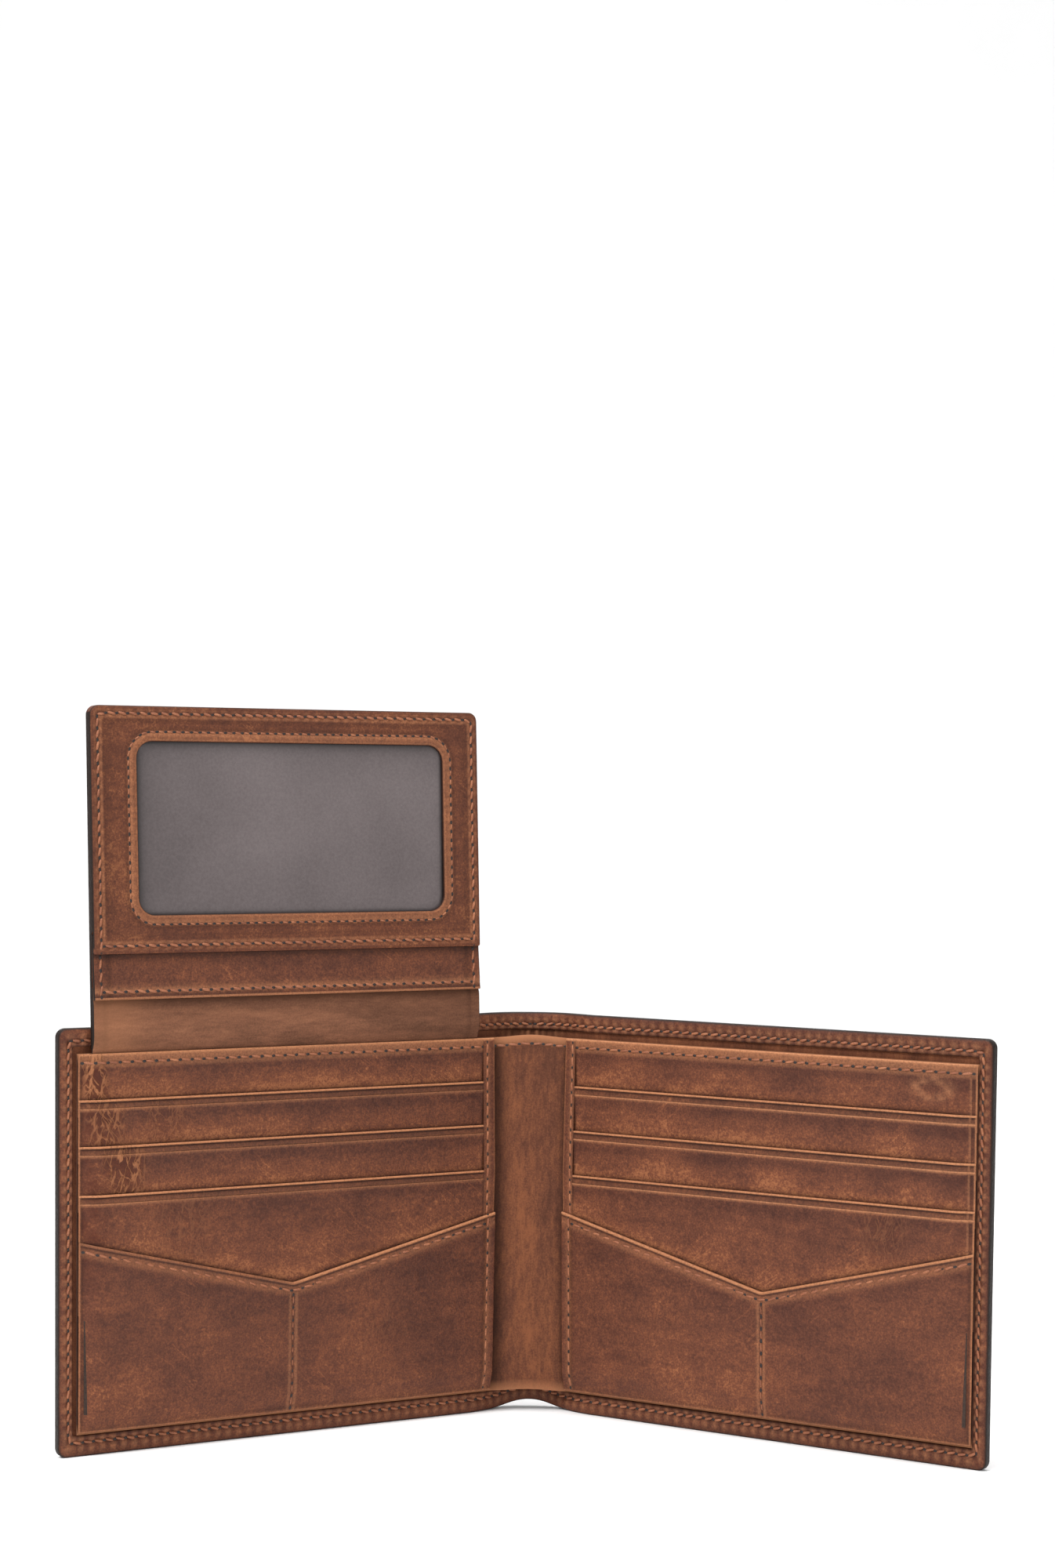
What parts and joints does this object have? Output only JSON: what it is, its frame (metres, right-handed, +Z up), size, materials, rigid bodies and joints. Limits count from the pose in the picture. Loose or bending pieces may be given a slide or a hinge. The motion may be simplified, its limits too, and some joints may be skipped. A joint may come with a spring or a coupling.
{
  "type": "bifold wallet",
  "caption": "Bifold leather wallet standing half open on its edge, with card slots, V-topped pockets, a full-width note compartment and a fold-down window flap.",
  "frame": {"origin": "middle of the box that the half-open wallet fills, on the surface it stands on", "axes": "+X along the open width towards the right half, +Y towards the back of the spine, +Z up"},
  "size_m": [0.1926, 0.0625, 0.1546],
  "materials": {
    "leather": "waxy pull-up leather, mottled brown, with dark painted edges",
    "note_lining": "matt brown lining leather with a fine nap",
    "slot_cloth": "thin plain woven dark brown lining",
    "window_film": "smooth grey film with a low sheen",
    "thread": "waxed tan sewing thread"
  },
  "bodies": {
    "spine": {"cover_spine": "leather", "note_lining_spine": "note_lining", "note_divider_spine": "leather", "divider_top_seam_spine": "thread"},
    "left_half": {"cover_left": "leather", "note_lining_left": "note_lining", "note_divider_left": "leather", "card_slot_1_left": "leather", "slot_lining_1_left": "slot_cloth", "card_slot_2_left": "leather", "slot_lining_2_left": "slot_cloth", "card_slot_3_left": "leather", "slot_lining_3_left": "slot_cloth", "card_slot_4_left": "leather", "slot_lining_4_left": "slot_cloth", "v_pocket_left": "leather", "divider_top_seam_left": "thread", "v_pocket_seam_left": "thread", "stack_inner_seam_left": "thread", "hem_seam_left": "thread", "flap_hinge_tab": "leather"},
    "right_half": {"cover_right": "leather", "note_lining_right": "note_lining", "note_divider_right": "leather", "card_slot_1_right": "leather", "slot_lining_1_right": "slot_cloth", "card_slot_2_right": "leather", "slot_lining_2_right": "slot_cloth", "card_slot_3_right": "leather", "slot_lining_3_right": "slot_cloth", "card_slot_4_right": "leather", "slot_lining_4_right": "slot_cloth", "v_pocket_right": "leather", "divider_top_seam_right": "thread", "v_pocket_seam_right": "thread", "stack_inner_seam_right": "thread", "hem_seam_right": "thread"},
    "flap": {"flap_back": "leather", "flap_base": "note_lining", "flap_pocket_band": "leather", "flap_window_frame": "leather", "flap_window_film": "window_film", "flap_edge_seam": "thread", "flap_window_seam": "thread", "flap_frame_seam": "thread", "flap_band_seam": "thread"}
  },
  "joints": [
    {"name": "left_fold", "type": "hinge", "parent": "spine", "child": "left_half", "pos_m": [-0.0092, 0.02391, 0.0445], "axis": [0, 0, 1], "range_deg": [-32.5, 57.5]},
    {"name": "right_fold", "type": "hinge", "parent": "spine", "child": "right_half", "pos_m": [0.0092, 0.02391, 0.0445], "axis": [0, 0, 1], "range_deg": [-57.5, 32.5]},
    {"name": "flap_hinge", "type": "hinge", "parent": "left_half", "child": "flap", "pos_m": [-0.04837, -0.00561, 0.0849], "axis": [0.8434, 0.5373, 0], "range_deg": [0, 182.4]}
  ],
  "couplings": [
    {"joint": "right_fold", "follows": "left_fold", "ratio": -1}
  ]
}
